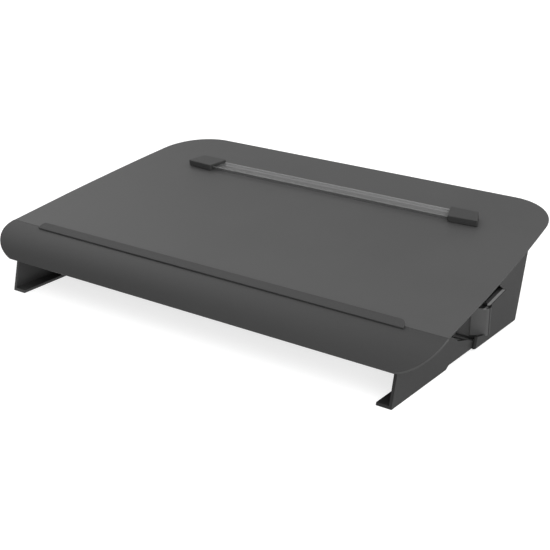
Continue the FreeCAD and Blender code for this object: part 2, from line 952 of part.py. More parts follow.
def guide_bar():
    """Clear ruler with a raised rib along each edge and a long lens between them."""
    near = guide_place
    width = guide_bar_width
    low = guide_lift
    web = low + guide_bar_web
    top = low + guide_bar_height
    lens_near = near + guide_rib_width + guide_groove
    lens_far = near + width - guide_rib_width - guide_groove
    points = [
        (near, low), (near + width, low), (near + width, top),
        (near + width - guide_rib_width, top), (near + width - guide_rib_width, web), (lens_far, web),
    ]
    points_back = [
        (lens_near, web), (near + guide_rib_width, web), (near + guide_rib_width, top),
        (near, top), (near, low),
    ]
    edges = []
    for chain in (points, points_back):
        for first, second in zip(chain, chain[1:]):
            edges.append(Part.makeLine(V(0, *first), V(0, *second)))
    crown = V(0, near + width / 2, web + guide_lens_rise)
    edges.append(Part.Arc(V(0, lens_far, web), crown, V(0, lens_near, web)).toShape())
    return on_board(shifted_prism(edges, -guide_bar_half, guide_bar_half))


def beside(shape):
    """Shifts a piece of the line guide to its place across the board."""
    moved = shape.copy()
    moved.translate(V(guide_shift, 0, 0))
    return moved


def guide_cap():
    """Right-hand end cap: a skewed block with the bar's pocket and the magnet's recess."""
    rear = guide_place + guide_bar_width + cap_rear_cover
    corners = [
        (guide_bar_half - cap_front_hold, guide_place - cap_inner_lead, cap_corner),
        (guide_bar_half + cap_front_reach, guide_place - cap_outer_lead, cap_corner),
        (guide_bar_half + cap_rear_reach, rear, cap_corner),
        (guide_bar_half - cap_rear_hold, rear, cap_corner),
    ]
    cap = plan_prism(corners, cap_lift, cap_height)
    top_edges = [edge for edge in cap.Edges if edge.BoundBox.ZMin > cap_height - cap_top_round / 2]
    cap = cap.makeChamfer(cap_top_round, top_edges)
    pocket = block(
        0, guide_bar_half + cap_pocket_fit,
        guide_place - cap_pocket_fit, guide_place + guide_bar_width + cap_pocket_fit,
        -overrun, guide_lift + guide_bar_height + cap_pocket_fit
    )
    x, slope = magnet_place()
    recess = rod(magnet_radius + cap_pocket_fit, x, slope, -overrun, cap_lift + magnet_thick)
    return cap.cut(pocket).cut(recess)


def magnet_place():
    """Middle (x, slope) of the right-hand magnet, outboard of the bar's end."""
    x = guide_bar_half + (cap_front_reach + cap_rear_reach) / 4
    rear = guide_place + guide_bar_width + cap_rear_cover
    return x, (guide_place - cap_outer_lead + rear) / 2


def guide_magnets():
    x, slope = magnet_place()
    disc = on_board(rod(magnet_radius, x, slope, cap_pad_thick, cap_lift + magnet_thick))
    return Part.makeCompound([disc, mirrored(disc)])


def guide_pads():
    """Thin felt discs under the magnets that slide on the board."""
    x, slope = magnet_place()
    disc = on_board(rod(magnet_radius, x, slope, running_gap / 2, cap_pad_thick))
    return Part.makeCompound([disc, mirrored(disc)])


pads = pad_places()
write("platform_board", platform_board())
write("front_apron", front_apron())
write("document_lip", document_lip())
write("right_side_plate", right_side_plate())
write("left_side_plate", left_side_plate())
write("front_foot_pads", foot_pads(pads[:2]))
write("rear_foot_pads", foot_pads(pads[2:]))
write("front_cross_rail", cross_rail(front_rail_place))
write("rear_cross_rail", cross_rail(rear_rail_place))
write("board_studs", board_studs())
write("board_nuts", board_nuts())
write("rail_screws", rail_screws())
write("drawer_bay", drawer_bay())
write("floor_screws", floor_screws())
write("drawer_bumpers", drawer_bumpers())
write("stop_bar", stop_bar())
write("drawer_tray", drawer_tray())
write("drawer_glides", drawer_glides())
write("drawer_front", drawer_front())
write("drawer_front_screws", drawer_front_screws())
right_cap = on_board(guide_cap())
write("guide_bar", beside(guide_bar()))
write("right_guide_cap", beside(right_cap))
write("left_guide_cap", beside(mirrored(right_cap)))
write("guide_magnets", beside(guide_magnets()))
write("guide_pads", beside(guide_pads()))
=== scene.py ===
import math

import bmesh
import bpy
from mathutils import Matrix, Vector


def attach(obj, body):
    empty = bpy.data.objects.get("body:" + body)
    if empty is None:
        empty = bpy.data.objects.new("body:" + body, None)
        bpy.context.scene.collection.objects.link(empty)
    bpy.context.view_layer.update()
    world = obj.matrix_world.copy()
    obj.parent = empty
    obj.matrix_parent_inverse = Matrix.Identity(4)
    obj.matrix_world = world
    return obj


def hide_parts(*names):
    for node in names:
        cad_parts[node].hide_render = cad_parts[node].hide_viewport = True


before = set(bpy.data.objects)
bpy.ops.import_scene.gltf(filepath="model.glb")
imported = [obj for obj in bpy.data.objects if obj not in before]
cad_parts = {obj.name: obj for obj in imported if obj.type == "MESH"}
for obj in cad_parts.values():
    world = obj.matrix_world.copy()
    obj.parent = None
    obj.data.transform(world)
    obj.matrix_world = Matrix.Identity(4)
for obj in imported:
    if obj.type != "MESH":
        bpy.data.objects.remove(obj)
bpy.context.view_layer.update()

# Studio
IMAGE_SIZE = 550
FOCAL_PIXELS = 1223.8
SENSOR = 36.0
CAMERA_PLACE = (0.68308, -0.948265, 0.48072)
CAMERA_TURN = (68.521, 0.0, 35.908)
FLOOR_HALF = 6.0
FLOOR_SHADE = 0.42
# Glow of the floor near the object and far off, and the distances where the change starts and ends
FLOOR_GLOW = (0.74, 1.0)
GLOW_RADII = (0.7, 2.6)
# Painted shadow: middle and radii of the floor patch, seen through the finger opening, that loses
# its glow
PAINTED_SHADOW_PATCH = (0.2025, 0.0085)
PAINTED_SHADOW_RADII = (0.010, 0.024)
SKY_STRENGTH = 0.5
# Softboxes: azimuth from +X towards the front, height in degrees, strength on the object,
# distance and width in metres
SOFTBOXES = {
    "front_right_box": (45.0, 38.0, 3.4, 2.0, 1.85),
    "rear_right_box": (-30.0, 40.0, 1.1, 3.4, 2.6),
    "left_box": (191.0, 48.0, 1.0, 2.3, 2.0),
}

# Slope of the board, and the crease where it starts, in the frame
BOARD_TILT = math.radians(7.85)
CREASE = (-0.117235, 0.0617)

# Cut-out's sill: start behind the crease, height there, and rise per metre
SILL_START = 0.1407
SILL_HEIGHT = 0.0382
SILL_RISE = 0.1727
# Painted highlights: lighter outer part of the sill's bevel, in X, and of the pull, in Y, with its
# lower end in Z
BEVEL_HIGHLIGHT_BAND = (0.2279, 0.2304)
PULL_HIGHLIGHT_BAND = (0.0025, 0.0125)
PULL_HIGHLIGHT_BOTTOM = 0.0094
# Painted shade: share of a powder coat's tone that is left on faces that don't look up
PAINTED_SHADE_SHARE = 0.4
# Front and rear of the guide bar at rest, up the slope from the crease, and the width of its ribs,
# which carry painted highlights beside a front wall with painted shade
BAR_SPAN = (0.1968, 0.2135)
BAR_RIB = 0.0015


class Signal:
    """A value of a node tree that can be written in a Python expression."""

    def __init__(self, graph, socket):
        self.graph = graph
        self.socket = socket

    def _math(self, operation, *values):
        return self.graph.node("ShaderNodeMath", {"operation": operation}, *values)

    def __add__(self, other):
        return self._math("ADD", self, other)

    def __radd__(self, other):
        return self._math("ADD", other, self)

    def __sub__(self, other):
        return self._math("SUBTRACT", self, other)

    def __rsub__(self, other):
        return self._math("SUBTRACT", other, self)

    def __mul__(self, other):
        return self._math("MULTIPLY", self, other)

    def __rmul__(self, other):
        return self._math("MULTIPLY", other, self)

    def __truediv__(self, other):
        return self._math("DIVIDE", self, other)

    def __rtruediv__(self, other):
        return self._math("DIVIDE", other, self)

    def __pow__(self, other):
        return self._math("POWER", self, other)

    def __rpow__(self, other):
        return self._math("POWER", other, self)

    def between(self, low, high):
        """0 below low, 1 above high, and smooth between them."""
        settings = {"interpolation_type": "SMOOTHSTEP"}
        return self.graph.node("ShaderNodeMapRange", settings, self, low, high)

    def absolute(self):
        return self._math("ABSOLUTE", self)

    def rounded(self):
        return self._math("ROUND", self)

    def at_least(self, other):
        return self._math("MAXIMUM", self, other)


class Graph:
    """A node tree that is written as values and expressions."""

    def __init__(self, tree):
        self.tree = tree

    def node(self, kind, settings, *values, output=None, **named):
        """Adds a node, sets it up, feeds its sockets and returns one output."""
        made = self.tree.nodes.new(kind)
        for key, value in settings.items():
            setattr(made, key, value)
        free = [socket for socket in made.inputs if socket.enabled]
        for socket, value in zip(free, values):
            self.feed(socket, value)
        for key, value in named.items():
            self.feed(self._enabled(made.inputs, key.replace("_", " ")), value)
        if output is not None:
            return Signal(self, self._enabled(made.outputs, output))
        return Signal(self, [socket for socket in made.outputs if socket.enabled][0])

    @staticmethod
    def _enabled(sockets, name):
        return [s for s in sockets if s.name == name and s.enabled][0]

    def feed(self, socket, value):
        if isinstance(value, Signal):
            self.tree.links.new(value.socket, socket)
        elif socket.type == "RGBA" and len(value) == 3:
            socket.default_value = (*value, 1.0)
        else:
            socket.default_value = value


class Finish(Graph):
    """A material."""

    def __init__(self, name):
        self.material = bpy.data.materials.new(name)
        self.material.use_nodes = True
        super().__init__(self.material.node_tree)
        self.tree.nodes.clear()
        self.surface = self.tree.nodes.new("ShaderNodeBsdfPrincipled")
        out = self.tree.nodes.new("ShaderNodeOutputMaterial")
        self.tree.links.new(self.surface.outputs["BSDF"], out.inputs["Surface"])
        self.place = self.node("ShaderNodeTexCoord", {}, output="Object")

    def axis(self, name):
        """One coordinate of the surface point, in metres."""
        return self.node("ShaderNodeSeparateXYZ", {}, self.place, output=name)

    def stretched(self, x, y, z):
        """The surface point with each axis scaled by its own factor."""
        return self.node("ShaderNodeMapping", {}, Vector=self.place, Scale=(x, y, z))

    def noise(self, scale, detail=2.0, roughness=0.5, place=None):
        """Cloudy value around one half."""
        return self.node(
            "ShaderNodeTexNoise", {}, Vector=place or self.place,
            Scale=scale, Detail=detail, Roughness=roughness, output="Fac",
        )

    def cells(self, scale):
        """Distance from the middle of the nearest cell."""
        return self.node(
            "ShaderNodeTexVoronoi", {}, Vector=self.place, Scale=scale, output="Distance",
        )

    def blend(self, share, first, second):
        """Colour between two colours."""
        return self.node(
            "ShaderNodeMix", {"data_type": "RGBA"}, Factor=share, A=first, B=second,
            output="Result",
        )

    def bump(self, height, distance):
        return self.node(
            "ShaderNodeBump", {}, Height=height, Distance=distance, Strength=1.0, output="Normal",
        )

    def shade(self, **sockets):
        """Feeds the surface shader's own sockets."""
        for key, value in sockets.items():
            self.feed(self.surface.inputs[key.replace("_", " ")], value)
        return self.material


def grey(level, warmth=0.0):
    """A neutral colour, a touch warmer or cooler."""
    return (level * (1 + warmth), level, level * (1 - warmth))


def powder_coat(name, level, roughness, grain, grain_depth):
    """Powder coat: fine orange peel and faint clouds, with painted shade on faces that don't look
    up.
    """
    coat = Finish(name)
    clouds = coat.noise(9.0, 3.0, 0.55)
    peel = coat.noise(grain, 3.0, 0.6)
    specks = coat.noise(grain * 3.1, 1.0, 0.5)
    tone = coat.blend(clouds.between(0.35, 0.65), grey(level * 0.965), grey(level * 1.035))
    tone = coat.blend((specks - 0.5).between(0.12, 0.3) * 0.35, tone, grey(level * 1.5))
    # Painted shade: faces that don't look up get the darker tone.
    facing = coat.node("ShaderNodeNewGeometry", {}, output="True Normal")
    upward = coat.node("ShaderNodeSeparateXYZ", {}, facing, output="Z")
    tone = coat.blend(upward.between(0.3, 0.95), grey(level * PAINTED_SHADE_SHARE), tone)
    rough = roughness + (peel - 0.5) * 0.16 + (clouds - 0.5) * 0.08
    return coat.shade(
        Base_Color=tone, Roughness=rough, Normal=coat.bump(peel, grain_depth),
        Specular_IOR_Level=0.31,
    )


def moulded(name, level, roughness, grain, grain_depth, shine=0.29):
    """Moulded plastic with an etched tool grain and faint flow marks."""
    plastic = Finish(name)
    etched = plastic.cells(grain)
    fine = plastic.noise(grain * 1.9, 2.0, 0.6)
    flow = plastic.noise(5.5, 3.0, 0.5, plastic.stretched(1.0, 2.4, 2.4))
    height = etched * 0.7 + fine * 0.5
    tone = plastic.blend(flow.between(0.3, 0.7), grey(level * 0.95), grey(level * 1.05))
    tone = plastic.blend(etched.between(0.45, 0.75) * 0.3, tone, grey(level * 0.78))
    rough = roughness + (fine - 0.5) * 0.12 + (flow - 0.5) * 0.1
    return plastic.shade(
        Base_Color=tone, Roughness=rough, Normal=plastic.bump(height, grain_depth),
        Specular_IOR_Level=shine,
    )


def up_the_slope(finish):
    """Distance of the surface point from the crease, up the board's slope."""
    y = finish.axis("Y") - CREASE[0]
    z = finish.axis("Z") - CREASE[1]
    return y * math.cos(BOARD_TILT) + z * math.sin(BOARD_TILT)


def plastic_with_painted_highlights(name, level, roughness, grain, grain_depth, pull_highlight_level, bevel_highlight_level):
    """Moulded plastic with painted highlights on the pull's wall and on the outer part of the
    sill's bevel.
    """
    plastic = Finish(name)
    etched = plastic.cells(grain)
    fine = plastic.noise(grain * 1.9, 2.0, 0.6)
    flow = plastic.noise(5.5, 3.0, 0.5, plastic.stretched(1.0, 2.4, 2.4))
    highlight_mottle = plastic.noise(45.0, 3.0, 0.6)
    x, y, z = (plastic.axis(name) for name in "XYZ")
    # Painted highlight band along the outer part of the sill's bevel.
    line = (y - CREASE[0] - SILL_START) * SILL_RISE + SILL_HEIGHT
    bevel = (z - line).between(0.0002, 0.0006) * (BEVEL_HIGHLIGHT_BAND[1] - x).between(-0.0001, 0.0003)
    bevel = bevel * (x - BEVEL_HIGHLIGHT_BAND[0]).between(0.0, 0.0004)
    facing = plastic.node("ShaderNodeNewGeometry", {}, output="True Normal")
    rearward = plastic.node("ShaderNodeSeparateXYZ", {}, facing, output="Y")
    # Painted highlight on the pull's wall, kept to faces that look towards the front.
    pull = (PULL_HIGHLIGHT_BAND[1] - y).between(-0.0024, 0.0) * (y - PULL_HIGHLIGHT_BAND[0]).between(0.0, 0.0006)
    pull = pull * (z - PULL_HIGHLIGHT_BOTTOM).between(0.0, 0.0006)
    pull = pull * (1.0 - rearward.between(-0.45, -0.25))
    painted_highlight_mask = pull.at_least(bevel) * (0.85 + highlight_mottle * 0.3)
    # Painted highlights: the pull and the bevel's outer part get lighter tones, mottled by noise.
    painted_highlight_tone = plastic.blend(pull * (0.85 + highlight_mottle * 0.3), grey(level), grey(pull_highlight_level))
    painted_highlight_tone = plastic.blend(bevel * (0.85 + highlight_mottle * 0.3), painted_highlight_tone, grey(bevel_highlight_level))
    tone = plastic.blend(flow.between(0.3, 0.7) * 0.1, painted_highlight_tone, grey(level * 0.8))
    rough = roughness + (fine - 0.5) * 0.12 + (flow - 0.5) * 0.1 - painted_highlight_mask * 0.05
    height = (etched * 0.7 + fine * 0.5) * (1.0 - painted_highlight_mask * 0.6)
    return plastic.shade(
        Base_Color=tone, Roughness=rough, Normal=plastic.bump(height, grain_depth),
        Specular_IOR_Level=0.17,
    )


def clear_acrylic(name, front, rear, rib):
    """Extruded clear plastic: a thin clear web, with painted highlights on the ribs and painted
    shade on the front wall.
    """
    clear = Finish(name)
    place = up_the_slope(clear)
    lines = clear.noise(420.0, 2.0, 0.5, clear.stretched(0.004, 1.0, 1.0))
    haze = clear.noise(60.0, 2.0, 0.5)
    # Painted highlights: the ribs get more opacity and, at the rear, a light tone.
    rear_rib_highlight = place.between(rear - rib * 1.3, rear - rib * 0.8)
    front_rib_highlight = 1.0 - place.between(front + rib * 0.5, front + rib * 1.4)
    # Painted shade: the front wall is made more opaque and nearly black.
    wall = 1.0 - place.between(front, front + rib * 0.25)
    body = 0.09 + lines * 0.06 + haze * 0.04
    alpha = body + rear_rib_highlight * 0.2 + front_rib_highlight * 0.05 + wall * 0.4
    tone = clear.blend(wall, grey(0.3), grey(0.025))
    return clear.shade(
        Base_Color=clear.blend(rear_rib_highlight, tone, grey(0.36)), Alpha=alpha,
        Roughness=0.12 + haze * 0.1, Normal=clear.bump(lines, 0.00002), IOR=1.49,
        Specular_IOR_Level=0.5,
    )


def rubber(name):
    """Soft black rubber with a dusty bloom."""
    soft = Finish(name)
    bloom = soft.noise(160.0, 4.0, 0.65)
    grain = soft.noise(2600.0, 2.0, 0.5)
    tone = soft.blend(bloom.between(0.45, 0.75), grey(0.018), grey(0.034, 0.03))
    return soft.shade(
        Base_Color=tone, Roughness=0.78 + (bloom - 0.5) * 0.2, Normal=soft.bump(grain, 0.00004),
        Specular_IOR_Level=0.3,
    )


def plated(name, colour, roughness):
    """Thin plating on steel, with small spangles and drawn lines."""
    metal = Finish(name)
    spangle = metal.cells(1500.0)
    drawn = metal.noise(2200.0, 2.0, 0.6, metal.stretched(1.0, 1.0, 0.12))
    dull = metal.noise(220.0, 3.0, 0.6)
    dark = tuple(part * 0.72 for part in colour)
    share = spangle.between(0.2, 0.7) * 0.5 + dull.between(0.5, 0.8) * 0.4
    tone = metal.blend(share, colour, dark)
    return metal.shade(
        Base_Color=tone, Metallic=1.0, Roughness=roughness + (dull - 0.5) * 0.25,
        Normal=metal.bump(drawn, 0.00002),
    )


def nylon(name):
    """Slippery off-white strip, scuffed along the way it runs."""
    strip = Finish(name)
    scuffs = strip.noise(900.0, 3.0, 0.6, strip.stretched(0.03, 1.0, 1.0))
    tone = strip.blend(scuffs.between(0.5, 0.75), (0.62, 0.61, 0.56), (0.42, 0.41, 0.38))
    return strip.shade(
        Base_Color=tone, Roughness=0.34 + scuffs * 0.2, Normal=strip.bump(scuffs, 0.00003),
        Specular_IOR_Level=0.5,
    )


def felt(name):
    """Pressed felt."""
    cloth = Finish(name)
    fibres = cloth.noise(3800.0, 4.0, 0.75)
    tufts = cloth.noise(900.0, 3.0, 0.6)
    tone = cloth.blend(fibres.between(0.35, 0.65), grey(0.012), grey(0.05))
    return cloth.shade(
        Base_Color=tone, Roughness=0.95, Normal=cloth.bump(fibres * 0.6 + tufts * 0.4, 0.0001),
        Sheen_Weight=0.3, Specular_IOR_Level=0.15,
    )


# Coats and plastics: tone, roughness, scale of the grain and its depth in metres, then the
# shine of a plate, or the painted-highlight tones of the drawer front's pull and bevel
FINISHES = {
    "board_coat": powder_coat("board_coat", 0.0492, 0.5, 1500.0, 0.00005),
    "housing": moulded("housing", 0.0258, 0.5, 1900.0, 0.00004),
    # Painted shade: the right plate is a darker copy of the housing plastic, toned down for the
    # light on its side.
    "right_plate": moulded("right_plate", 0.0130, 0.5, 1900.0, 0.00004, 0.19),
    "ledge": moulded("ledge", 0.029, 0.5, 1900.0, 0.00004),
    # Painted shade and highlights: the drawer front is a darker copy of the housing plastic, with
    # lighter painted tones on its pull and bevel.
    "drawer_end": plastic_with_painted_highlights("drawer_end", 0.0095, 0.5, 1900.0, 0.00004, 0.069, 0.14),
    "caps": moulded("caps", 0.0297, 0.46, 2300.0, 0.00003),
    "tray": moulded("tray", 0.07, 0.55, 1300.0, 0.00006),
    "rail_paint": powder_coat("rail_paint", 0.02, 0.4, 900.0, 0.00006),
    "zinc": plated("zinc", (0.55, 0.56, 0.58), 0.34),
    "nickel": plated("nickel", (0.62, 0.61, 0.58), 0.18),
    "rubber": rubber("rubber"),
    "nylon": nylon("nylon"),
    "acrylic": clear_acrylic("acrylic", *BAR_SPAN, BAR_RIB),
    "felt": felt("felt"),
}

# node: finish, body, material slot, width of its rounded edges in metres
SHAPED = {
    "platform_board": ("board_coat", "stand", "board_steel", 0.0002),
    "front_apron": ("housing", "stand", "housing_plastic", 0.0006),
    "document_lip": ("ledge", "stand", "housing_plastic", 0.0004),
    "right_side_plate": ("right_plate", "stand", "housing_plastic", 0.0005),
    "left_side_plate": ("housing", "stand", "housing_plastic", 0.0005),
    "front_cross_rail": ("rail_paint", "stand", "rail_steel", 0.0003),
    "rear_cross_rail": ("rail_paint", "stand", "rail_steel", 0.0003),
    "drawer_bay": ("tray", "stand", "housing_plastic", 0.0004),
    "drawer_bumpers": ("rubber", "stand", "foot_rubber", 0.0006),
    "stop_bar": ("rail_paint", "stand", "rail_steel", 0.0003),
    "drawer_tray": ("tray", "drawer", "tray_plastic", 0.0004),
    "drawer_glides": ("nylon", "drawer", "glide_plastic", 0.0003),
    "drawer_front": ("drawer_end", "drawer", "housing_plastic", 0.0005),
    "guide_bar": ("acrylic", "line_guide", "clear_plastic", 0.0002),
    "right_guide_cap": ("caps", "line_guide", "cap_plastic", 0.0003),
    "left_guide_cap": ("caps", "line_guide", "cap_plastic", 0.0003),
    "guide_magnets": ("nickel", "line_guide", "magnet_nickel", 0.0002),
    "guide_pads": ("felt", "line_guide", "felt", 0.0001),
}
SMOOTH_BELOW = math.radians(32.0)

# Fixings: share of a thread's radius at its root, and how far a shank sits in its head
CORE_SHARE = 0.84
SINK = 0.0003
# Heights of the screws' heads, lengths of their shanks, and length of a stud
HEAD_HEIGHT = 0.0015
FRONT_HEAD_HEIGHT = 0.0014
RAIL_SHANK = 0.0037
FRONT_SHANK = 0.0059
FLOOR_SHANK = 0.0023
STUD_LENGTH = 0.0074


def as_piece(name, mesh, finish, body, nodes, rounded=False):
    """Puts a finished mesh in the scene in place of its CAD nodes."""
    mesh.materials.clear()
    mesh.materials.append(FINISHES[finish])
    mesh.polygons.foreach_set("use_smooth", [True] * len(mesh.polygons))
    if not rounded:
        mesh.set_sharp_from_angle(angle=SMOOTH_BELOW)
    piece = bpy.data.objects.new(name, mesh)
    bpy.context.scene.collection.objects.link(piece)
    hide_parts(*nodes)
    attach(piece, body)
    return piece


def shaped_pieces():
    """Copies of the CAD nodes with whole faces and softly rounded edges."""
    for node, (finish, body, slot, width) in SHAPED.items():
        shape = bmesh.new()
        shape.from_mesh(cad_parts[node].data)
        bmesh.ops.remove_doubles(shape, verts=shape.verts, dist=1e-6)
        bmesh.ops.recalc_face_normals(shape, faces=shape.faces)
        bmesh.ops.dissolve_limit(
            shape, angle_limit=math.radians(0.4), verts=shape.verts, edges=shape.edges,
        )
        mesh = bpy.data.meshes.new(node + "_shape")
        shape.to_mesh(mesh)
        shape.free()
        piece = as_piece(node + "_shape", mesh, finish, body, [node], rounded=True)
        rounding = piece.modifiers.new("rounded_edges", "BEVEL")
        rounding.width = width
        rounding.segments = 2
        rounding.limit_method = "ANGLE"
        rounding.angle_limit = SMOOTH_BELOW
        level = piece.modifiers.new("even_shading", "WEIGHTED_NORMAL")
        level.mode = "FACE_AREA"
        level.weight = 100
        level.keep_sharp = False


class Recipe(Graph):
    """A Geometry Nodes tree that makes one kind of fixing at every point of a mesh."""

    def __init__(self, name, **sizes):
        super().__init__(bpy.data.node_groups.new(name, "GeometryNodeTree"))
        self.keys = {}
        self._socket("Points", "NodeSocketGeometry")
        for size, value in sizes.items():
            self._socket(size, "NodeSocketFloat").default_value = value
        self._socket("Turn", "NodeSocketVector")
        self._socket("Finish", "NodeSocketMaterial")
        self.tree.interface.new_socket("Result", in_out="OUTPUT", socket_type="NodeSocketGeometry")
        self.given = self.tree.nodes.new("NodeGroupInput")

    def _socket(self, name, kind):
        socket = self.tree.interface.new_socket(name, in_out="INPUT", socket_type=kind)
        self.keys[name] = socket.identifier
        return socket

    def size(self, name):
        return Signal(self, self.given.outputs[name])

    def vector(self, x, y, z):
        return self.node("ShaderNodeCombineXYZ", {}, x, y, z)

    def move(self, geometry, x, y, z):
        place = self.vector(x, y, z)
        return self.node("GeometryNodeTransform", {}, Geometry=geometry, Translation=place)

    def join(self, *parts):
        joint = self.tree.nodes.new("GeometryNodeJoinGeometry")
        for part in reversed(parts):
            self.tree.links.new(part.socket, joint.inputs["Geometry"])
        return Signal(self, joint.outputs["Geometry"])

    def rod(self, radius, length, sides=24):
        """Cylinder around the origin."""
        return self.node(
            "GeometryNodeMeshCylinder", {}, Vertices=sides, Radius=radius, Depth=length,
            output="Mesh",
        )

    def taper(self, low, high, length, sides):
        """Cone from z = 0 up, between two radii."""
        return self.node(
            "GeometryNodeMeshCone", {}, Vertices=sides, Radius_Bottom=low, Radius_Top=high,
            Depth=length, output="Mesh",
        )

    def carve(self, body, *tools):
        """Body without its tools."""
        made = self.tree.nodes.new("GeometryNodeMeshBoolean")
        made.operation = "DIFFERENCE"
        made.solver = "EXACT"
        self.tree.links.new(body.socket, made.inputs["Mesh 1"])
        for tool in tools:
            self.tree.links.new(tool.socket, made.inputs["Mesh 2"])
        return Signal(self, made.outputs["Mesh"])

    def row(self, count, step):
        """Points up the Z axis from the origin."""
        return self.node(
            "GeometryNodeMeshLine", {"mode": "OFFSET"}, Count=count,
            Offset=self.vector(0.0, 0.0, step),
        )

    def repeat(self, points, part, **sockets):
        return self.node(
            "GeometryNodeInstanceOnPoints", {}, Points=points, Instance=part, **sockets,
        )

    def close(self, part):
        """Sets the part at every point, makes it real and gives it its finish."""
        spread = self.repeat(self.size("Points"), part, Rotation=self.size("Turn"))
        real = self.node("GeometryNodeRealizeInstances", {}, Geometry=spread)
        done = self.node(
            "GeometryNodeSetMaterial", {}, Geometry=real, Material=self.size("Finish"),
        )
        out = self.tree.nodes.new("NodeGroupOutput")
        self.tree.links.new(done.socket, out.inputs["Result"])
        return self

    def make(self, points, turn, finish, **sizes):
        """The plain mesh that the recipe gives for these points."""
        mesh = bpy.data.meshes.new("points")
        mesh.from_pydata(points, [], [])
        holder = bpy.data.objects.new("points", mesh)
        bpy.context.scene.collection.objects.link(holder)
        worker = holder.modifiers.new("recipe", "NODES")
        worker.node_group = self.tree
        worker[self.keys["Turn"]] = turn
        worker[self.keys["Finish"]] = FINISHES[finish]
        for size, value in sizes.items():
            worker[self.keys[size]] = value
        ready = holder.evaluated_get(bpy.context.evaluated_depsgraph_get())
        result = bpy.data.meshes.new_from_object(ready)
        holder.modifiers.clear()
        bpy.data.objects.remove(holder)
        return result


def thread(recipe, radius, length, pitch):
    """Rod from z = 0 up: one closed skin whose rings are crests and roots in turn."""
    rings = (length / pitch).rounded() * 2.0
    rod = recipe.node(
        "GeometryNodeMeshCylinder", {}, Vertices=24, Side_Segments=rings, Radius=radius,
        Depth=length, output="Mesh",
    )
    place = recipe.node("GeometryNodeInputPosition", {})
    height = recipe.node("ShaderNodeSeparateXYZ", {}, place, output="Z")
    half_turns = (height / length + 0.5) * rings * 0.5
    crest = (half_turns - half_turns.rounded()).absolute() * 2.0
    squeeze = crest * (1.0 - CORE_SHARE) + CORE_SHARE
    shaped = recipe.node(
        "ShaderNodeVectorMath", {"operation": "MULTIPLY"}, place,
        recipe.vector(squeeze, squeeze, 1.0),
    )
    cut = recipe.node("GeometryNodeSetPosition", {}, Geometry=rod, Position=shaped)
    return recipe.move(cut, 0.0, 0.0, length * 0.5)


def screw_recipe():
    """Pan-head screw with a cross recess: head below z = 0, shank above it."""
    screw = Recipe(
        "pan_head_screw", Head=0.0026, Height=HEAD_HEIGHT, Shank=0.00125, Length=0.004,
        Pitch=0.0007,
    )
    head, height = screw.size("Head"), screw.size("Height")
    crown = screw.taper(head * 0.62, head * 0.94, height * 0.45, 32)
    skirt = screw.move(screw.taper(head * 0.94, head, height * 0.55, 32), 0.0, 0.0, height * 0.45)
    whole = screw.move(screw.join(crown, skirt), 0.0, 0.0, height * -1.0)
    arms = []
    for long, wide in ((1.0, 0.24), (0.24, 1.0)):
        size = screw.vector(head * long, head * wide, height)
        arm = screw.node("GeometryNodeMeshCube", {}, Size=size, output="Mesh")
        arms.append(screw.move(arm, 0.0, 0.0, height * -1.0))
    cut = screw.carve(whole, *arms)
    shank = thread(screw, screw.size("Shank"), screw.size("Length") + SINK, screw.size("Pitch"))
    return screw.close(screw.join(cut, screw.move(shank, 0.0, 0.0, -SINK)))


def stud_recipe():
    """Welded stud that hangs down from z = 0, with a plain root."""
    stud = Recipe("threaded_stud", Radius=0.002, Length=STUD_LENGTH, Pitch=0.0007, Root=0.001)
    radius, root = stud.size("Radius"), stud.size("Root")
    length = stud.size("Length") - root + SINK
    shank = stud.move(thread(stud, radius, length, stud.size("Pitch")), 0.0, 0.0, root - SINK)
    collar = stud.move(stud.rod(radius, root), 0.0, 0.0, root * 0.5)
    return stud.close(stud.join(shank, collar))


def nut_recipe():
    """Hexagon nut around the origin, with chamfered corners and a bore."""
    nut = Recipe("hexagon_nut", Flats=0.007, Height=0.003, Bore=0.0021)
    corner = nut.size("Flats") / math.sqrt(3.0)
    height = nut.size("Height")
    middle = nut.rod(corner, height * 0.7, 6)
    low = nut.move(nut.taper(corner * 0.86, corner, height * 0.15, 6), 0.0, 0.0, height * -0.5)
    high = nut.move(nut.taper(corner, corner * 0.86, height * 0.15, 6), 0.0, 0.0, height * 0.35)
    bore = nut.rod(nut.size("Bore"), height * 1.6, 24)
    return nut.close(nut.carve(nut.join(low, middle, high), bore))


def pad_recipe():
    """Rubber foot: a disc with round ribs on its underside, from z = 0 up."""
    pad = Recipe("ribbed_pad", Radius=0.0055, Height=0.0016, Rib=0.0003)
    radius, height, rib = pad.size("Radius"), pad.size("Height"), pad.size("Rib")
    disc = pad.move(pad.rod(radius * 0.96, height - rib, 48), 0.0, 0.0, (height + rib) * 0.5)
    rim = pad.move(pad.rod(radius, height - rib * 2.0, 48), 0.0, 0.0, height * 0.5)
    circle = "GeometryNodeCurvePrimitiveCircle"
    path = pad.node(circle, {}, Resolution=48, Radius=radius, output="Curve")
    wire = pad.node(circle, {}, Resolution=10, Radius=rib, output="Curve")
    ring = pad.node("GeometryNodeCurveToMesh", {}, Curve=path, Profile_Curve=wire, output="Mesh")
    order = pad.node("GeometryNodeInputIndex", {})
    share = order * 0.26 + 0.3
    spread = pad.repeat(pad.row(3, 0.0), ring, Scale=pad.vector(share, share, 1.0))
    ribs = pad.move(spread, 0.0, 0.0, rib)
    return pad.close(pad.join(disc, rim, ribs))


